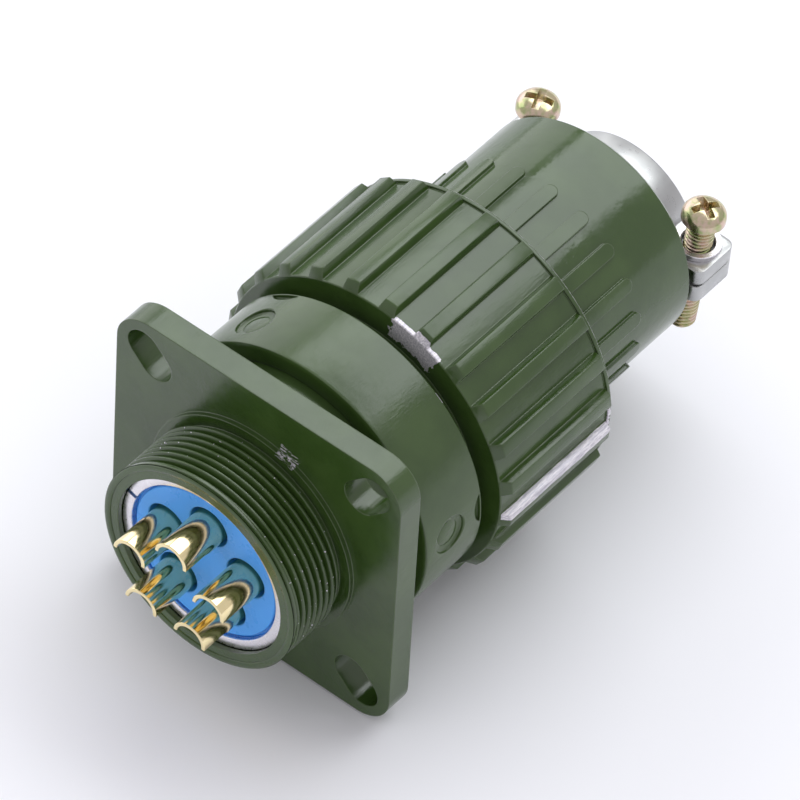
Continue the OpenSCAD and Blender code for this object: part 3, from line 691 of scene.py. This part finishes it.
def grip_ring(material):
    """Coupling ring with teeth, stud recesses and crescents; gives the recess floor's radius."""
    front, rear = COLLAR_X
    web_front, web_rear = WEB_X
    profile = [(COLLAR_BORE_R, front), (COLLAR_R - 0.45, front), (COLLAR_R - 0.25, front + 0.05),
               (COLLAR_R - 0.06, front + 0.2), (COLLAR_R, front + 0.45), (COLLAR_R, rear - 0.1),
               (COLLAR_R - 0.1, rear), (NECK_R, rear), (NECK_R, TEETH_X),
               (TOOTH_FLOOR_R - 0.1, TEETH_X), (TOOTH_FLOOR_R, TEETH_X + 0.1),
               (TOOTH_FLOOR_R, RIM_X), (RIM_R - 0.06, RIM_X), (RIM_R, RIM_X + 0.06),
               (RIM_R, RING_END_X - 0.1), (RIM_R - 0.1, RING_END_X), (RING_BORE_R, RING_END_X),
               (RING_BORE_R, web_rear), (WEB_R, web_rear), (WEB_R, web_front),
               (NOSE_BORE_R, web_front), (NOSE_BORE_R, COLLAR_STEP_X),
               (COLLAR_BORE_R, COLLAR_STEP_X)]
    ring = mesh_object("grip_ring", *revolve(profile, steps=288), material)
    floor_r = COLLAR_R - RECESS_DEPTH
    recess = [(POLE_R, floor_r), (RECESS_R - 0.2, floor_r), (RECESS_R - 0.03, floor_r + 0.1),
              (RECESS_R, COLLAR_R - 0.12), (RECESS_R + 0.25, COLLAR_R + 0.15),
              (RECESS_R + 0.25, COLLAR_R + 1), (POLE_R, COLLAR_R + 1)]
    half = math.degrees(math.acos((CRESCENT_X - CRESCENT_END_X) / CRESCENT_R))
    crescent = arc(CRESCENT_X, 0, CRESCENT_R, 180 - half, 180 + half, 24)
    for degrees in STUD_ANGLES:
        turn = Matrix.Rotation(math.radians(degrees - 90), 4, "X")
        hole = mesh_object("cutter", *lathe(recess, 48), material)
        hole.matrix_world = turn @ Matrix.Translation(Vector((STUD_X, 0, 0)) * MM)
        pocket = mesh_object("cutter", *prism(crescent, COLLAR_R - CRESCENT_DEPTH, COLLAR_R + 1,
                                              upright), material)
        pocket.matrix_world = turn
        bpy.context.view_layer.update()
        cut(ring, hole)
        cut(ring, pocket)
    join(ring, [ring_tooth(TOOTH_ANGLE + i * 360 / TOOTH_COUNT, material)
                for i in range(TOOTH_COUNT)])
    smooth(ring)
    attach(ring, "coupling_ring")
    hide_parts("coupling_ring")
    return floor_r


def ring_studs(floor_r, material):
    """Three studs whose softly domed ends fill the middle of their recesses."""
    dome = [(POLE_R, STUD_TIP_R), (STUD_R, STUD_TIP_R), (STUD_R, floor_r - 0.02),
            (STUD_R * 0.85, floor_r + 0.09), (STUD_R * 0.5, floor_r + 0.16),
            (POLE_R, floor_r + 0.18)]
    studs = []
    for degrees in STUD_ANGLES:
        stud = mesh_object("ring_studs", *lathe(dome, 40), material, 50)
        stud.matrix_world = (Matrix.Rotation(math.radians(degrees - 90), 4, "X")
                             @ Matrix.Translation(Vector((STUD_X, 0, 0)) * MM))
        studs.append(stud)
    bpy.context.view_layer.update()
    for stud in studs:
        stud.data.transform(stud.matrix_world)
        stud.matrix_world = Matrix.Identity(4)
    join(studs[0], studs[1:])
    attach(studs[0], "coupling_ring")
    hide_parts("bayonet_studs")


def arch_outline(z0):
    """Section of one arch over the cable, on the +Z side above z0."""
    bore, outer = ARCH_R
    first = math.degrees(math.asin((z0 + ARCH_DROP) / outer))
    last = math.degrees(math.asin((z0 + ARCH_DROP) / bore))
    return (arc(0, -ARCH_DROP, outer, first, 180 - first, 48)
            + arc(0, -ARCH_DROP, bore, 180 - last, last, 48))


def clamp_half(name, z_sign, z0, thick, arch_start, material):
    """Arch and two ears of one clamp half, in the clamp's own frame."""
    half = mesh_object(name, *prism(arch_outline(z0), arch_start, ARCH_X[1],
                                    lambda a, b, t: (t, a, z_sign * b)), material)
    near, far = EAR_Y
    r = EAR_CORNER
    outline = ([(near, arch_start), (far - r, arch_start)]
               + arc(far - r, arch_start + r, r, -90, 0, 6)[1:]
               + arc(far - r, EAR_END_X - r, r, 0, 90, 6) + [(near, EAR_END_X)])
    bolt = [(POLE_R, -9), (CLAMP_HOLE_R, -9), (CLAMP_HOLE_R, 9), (POLE_R, 9)]
    for side in (1, -1):
        ear = mesh_object("ear", *prism(outline, z0, z0 + thick,
                                        lambda a, b, t: (b, side * a, z_sign * t)), material)
        cut(half, ear, "UNION")
        hole = mesh_object("cutter", *lathe(bolt, 40), material)
        hole.location = Vector((SCREW_X, side * SCREW_HALF_SPACING, 0)) * MM
        bpy.context.view_layer.update()
        cut(half, hole)
    return half


def cable_clamp(material):
    """Clamp base with its plug and flange, and the loose saddle over it."""
    front, rear = CLAMP_FLANGE_X
    base = clamp_half("clamp_body", -1, 0.0, EAR_T, rear - 0.05, material)
    profile = [(CABLE_R, CLAMP_PLUG_X), (CLAMP_PLUG_R, CLAMP_PLUG_X), (CLAMP_PLUG_R, front),
               (CLAMP_FLANGE_R - 0.1, front), (CLAMP_FLANGE_R, front + 0.1),
               (CLAMP_FLANGE_R, rear - 0.1), (CLAMP_FLANGE_R - 0.1, rear), (CABLE_R, rear)]
    plug = mesh_object("plug", *revolve(profile), material)
    cut(base, plug, "UNION")
    saddle = clamp_half("clamp_strap", 1, SADDLE_GAP, SADDLE_T, ARCH_X[0], material)
    for obj, body, node in ((base, "plug", "clamp_base"), (saddle, "saddle", "clamp_saddle")):
        bevel_edges(obj, 0.10)
        smooth(obj)
        obj.matrix_world = Matrix.Rotation(CLAMP_ROLL, 4, "X")
        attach(obj, body)
        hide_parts(node)


def clamp_matrix(side):
    """Frame of one clamp screw: Z along the screw, origin on the clamp's joint plane."""
    place = Matrix.Translation(Vector((SCREW_X, side * SCREW_HALF_SPACING, 0)) * MM)
    lean = Matrix.Rotation(SCREW_LEAN, 4, "Y")
    if side < 0:
        lean = lean @ Matrix.Rotation(RIGHT_SCREW_ROLL, 4, "X")
    return Matrix.Rotation(CLAMP_ROLL, 4, "X") @ place @ lean


def cross_cutter(z_top, depth, reach, width):
    """Tapered Phillips cross, its top at z_top."""
    verts, faces = [], []
    for turn in range(2):
        for z, scale in ((z_top + 0.4, 1.06), (z_top - depth, 0.55)):
            a, b = reach * scale, width * (0.6 + 0.4 * scale)
            corners = [(-a, -b), (a, -b), (a, b), (-a, b)]
            if turn:
                corners = [(-q, p) for p, q in corners]
            verts += [(p, q, z) for p, q in corners]
        o = turn * 8
        faces += [(o, o + 1, o + 2, o + 3), (o + 7, o + 6, o + 5, o + 4)]
        faces += [(o + k, o + 4 + k, o + 4 + (k + 1) % 4, o + (k + 1) % 4) for k in range(4)]
    return verts, faces


def clamp_screw(side, material):
    """Pan-head screw with a cross recess and a real thread, in place of the plain solid."""
    top = SCREW_HEAD_Z
    rim = top + HEAD_RIM_H
    profile = [(POLE_R, top), (HEAD_R - 0.12, top), (HEAD_R, top + 0.12), (HEAD_R, rim)]
    for i in range(1, 13):
        a = i / 12 * math.pi / 2
        profile.append((max(HEAD_R * math.cos(a) ** 0.85, POLE_R),
                        rim + (HEAD_H - HEAD_RIM_H) * math.sin(a)))
    head = mesh_object("clamp_screw_head_%s" % side, *lathe(profile), material)
    cutter = mesh_object("cutter", *cross_cutter(top + HEAD_H, 1.3, 1.75, 0.42), material)
    cutter.rotation_euler.z = math.radians(RECESS_TURNS[0 if side > 0 else 1])
    bpy.context.view_layer.update()
    cut(head, cutter)
    bevel_edges(head, 0.05)
    tip = top - SCREW_LEN
    core = [(POLE_R, tip), (SCREW_CORE_R - 0.25, tip), (SCREW_CORE_R, tip + 0.3),
            (SCREW_CORE_R, top + 0.05)]
    shank = mesh_object("clamp_screw_shank_%s" % side, *lathe(core, 40), material)

    def place(s, r, a):
        return (r * math.cos(a), r * math.sin(a), s)

    rings = thread_rings(tip + 0.35, top - 0.3, SCREW_PITCH, SCREW_CORE_R, SCREW_R, 36, place, 0.6)
    thread = mesh_object("clamp_screw_thread_%s" % side, *sweep(rings), material)
    join(head, [shank, thread])
    head.name = "clamp_screw_left" if side > 0 else "clamp_screw_right"
    head.matrix_world = clamp_matrix(side)
    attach(head, "plug")
    return head


def spring_washer(side, material):
    """Split washer with its two ends sprung slightly apart."""
    inner, outer, rim = WASHER_BORE_R, WASHER_R, WASHER_ROUND
    steps, gap = 72, math.radians(WASHER_GAP)
    first = math.radians(WASHER_GAP_ANGLE) + gap / 2
    rings = []
    for i in range(steps + 1):
        t = i / steps
        a = first + (2 * math.pi - gap) * t
        z0 = WASHER_Z + WASHER_RISE * t
        z1 = z0 + WASHER_T
        section = [(inner + rim, z0), (outer - rim, z0), (outer, z0 + rim), (outer, z1 - rim),
                   (outer - rim, z1), (inner + rim, z1), (inner, z1 - rim), (inner, z0 + rim)]
        rings.append([(r * math.cos(a), r * math.sin(a), z) for r, z in section])
    name = "spring_washer_left" if side > 0 else "spring_washer_right"
    obj = mesh_object(name, *sweep(rings), material)
    obj.matrix_world = clamp_matrix(side)
    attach(obj, "saddle")
    return obj


# --------------------------------------------------------------------- stage

def soft_box(name, centre, size, normal, radiance, color):
    """Rectangular light at a place in metres that faces along a normal."""
    data = bpy.data.lights.new(name, "AREA")
    data.shape = "RECTANGLE"
    data.size, data.size_y = size
    data.energy = radiance * math.pi * size[0] * size[1]
    data.color = color
    obj = bpy.data.objects.new(name, data)
    bpy.context.scene.collection.objects.link(obj)
    obj.location = centre
    obj.rotation_euler = (-Vector(normal)).to_track_quat("Z", "Y").to_euler()


def floor():
    """Plain pale surface under the flange and the ring."""
    n = Nodes("studio_floor")
    n.surface((0.92, 0.92, 0.955, 1), 0.9)
    size, z = 4.0, FLOOR_Z * MM
    mesh = bpy.data.meshes.new("floor")
    corners = [(-size, -size, z), (size, -size, z), (size, size, z), (-size, size, z)]
    mesh.from_pydata(corners, [], [(0, 1, 2, 3)])
    mesh.materials.append(n.mat)
    obj = bpy.data.objects.new("floor", mesh)
    bpy.context.scene.collection.objects.link(obj)


def world():
    """Pale sky: one level as fill light, another for camera, glossy and transmission rays."""
    w = bpy.data.worlds.new("studio")
    bpy.context.scene.world = w
    w.use_nodes = True
    tree = w.node_tree
    tree.nodes.clear()
    path = tree.nodes.new("ShaderNodeLightPath")
    seen = tree.nodes.new("ShaderNodeMath")
    seen.operation = "MAXIMUM"
    tree.links.new(path.outputs["Is Camera Ray"], seen.inputs[0])
    tree.links.new(path.outputs["Is Glossy Ray"], seen.inputs[1])
    both = tree.nodes.new("ShaderNodeMath")
    both.operation = "MAXIMUM"
    tree.links.new(seen.outputs[0], both.inputs[0])
    tree.links.new(path.outputs["Is Transmission Ray"], both.inputs[1])
    strength = tree.nodes.new("ShaderNodeMapRange")
    strength.inputs["To Min"].default_value = 0.73
    strength.inputs["To Max"].default_value = 0.70
    tree.links.new(both.outputs[0], strength.inputs["Value"])
    back = tree.nodes.new("ShaderNodeBackground")
    back.inputs["Color"].default_value = (0.985, 0.965, 1.0, 1)
    tree.links.new(strength.outputs[0], back.inputs["Strength"])
    out = tree.nodes.new("ShaderNodeOutputWorld")
    tree.links.new(back.outputs[0], out.inputs["Surface"])


def camera():
    """The photograph's own viewpoint."""
    data = bpy.data.cameras.new("camera")
    data.lens = 405.0
    data.sensor_width = 36.0
    data.clip_start = 0.01
    data.clip_end = 20.0
    obj = bpy.data.objects.new("camera", data)
    bpy.context.scene.collection.objects.link(obj)
    right = Vector((0.63473, -0.77156, 0.04252))
    up = Vector((0.5579, 0.49565, 0.66564))
    back = Vector((-0.53466, -0.39878, 0.74506))
    basis = Matrix((right, up, back)).transposed().to_4x4()
    obj.matrix_world = Matrix.Translation(Vector((-0.45685, -0.35774, 0.66687))) @ basis
    bpy.context.scene.camera = obj


def dress(frame, name, material):
    """Gives every material slot of a CAD node the procedural material."""
    mesh = frame["nodes"][name].data
    if not mesh.materials:
        mesh.materials.append(material)
    for i in range(len(mesh.materials)):
        mesh.materials[i] = material


def main():
    bpy.context.scene.view_settings.view_transform = "Standard"
    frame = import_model()

    plain = enamel("enamel")
    shell = enamel("enamel_receptacle", flange_wear)
    ring = enamel("enamel_ring", ring_wear)
    threads = enamel("enamel_thread", None, 0.6, TUBE_CREST_R - 0.12)
    blue = blue_plastic()
    contact = gold()
    steel = bright_metal("spring_steel", (0.72, 0.70, 0.74, 1), (0.94, 0.91, 0.95, 1),
                         0.24, 0.42, 2.0, 0.6, 0.08)
    clamp = bright_metal("clamp_metal", (0.42, 0.43, 0.43, 1), (0.51, 0.51, 0.50, 1),
                         0.26, 0.38, 0.8, 0.25, 0.14)
    zinc = yellow_zinc()
    seal = rubber()

    looks = {"receptacle_shell": shell, "coupling_ring": ring, "bayonet_studs": ring,
             "plug_shell": plain, "backshell": plain,
             "receptacle_insert": blue, "plug_insert": blue,
             "insert_retaining_ring": steel, "wave_washer": steel, "ring_circlip": steel,
             "spring_washers": steel, "clamp_base": clamp, "clamp_saddle": clamp,
             "clamp_screws": zinc, "interface_seal": seal}
    for i in range(1, 6):
        looks["pin_contact_%d" % i] = contact
        looks["socket_contact_%d" % i] = contact
    for name, material in looks.items():
        dress(frame, name, material)

    tube_thread(threads)
    mouth_band(shell)
    insert_body(blue)
    retaining_ring(steel)
    for i in range(5):
        gold_contact(i, contact)
    cable_clamp(clamp)
    ring_studs(grip_ring(ring), ring)
    screws = [clamp_screw(side, zinc) for side in (1, -1)]
    washers = [spring_washer(side, steel) for side in (1, -1)]
    for screw in screws:
        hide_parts("clamp_screws")
    for washer in washers:
        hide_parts("spring_washers")

    floor()
    world()
    soft_box("key_overhead", (0.60, 0.05, 0.80), (0.62, 1.18), (0, 0, -1), 2.65,
             (0.94, 0.985, 1.0))
    soft_box("left_wall", (0.35, 0.95, 0.45), (1.6, 0.8), (0, -1, -0.2), 1.25,
             (0.97, 0.99, 1.0))
    camera()


main()
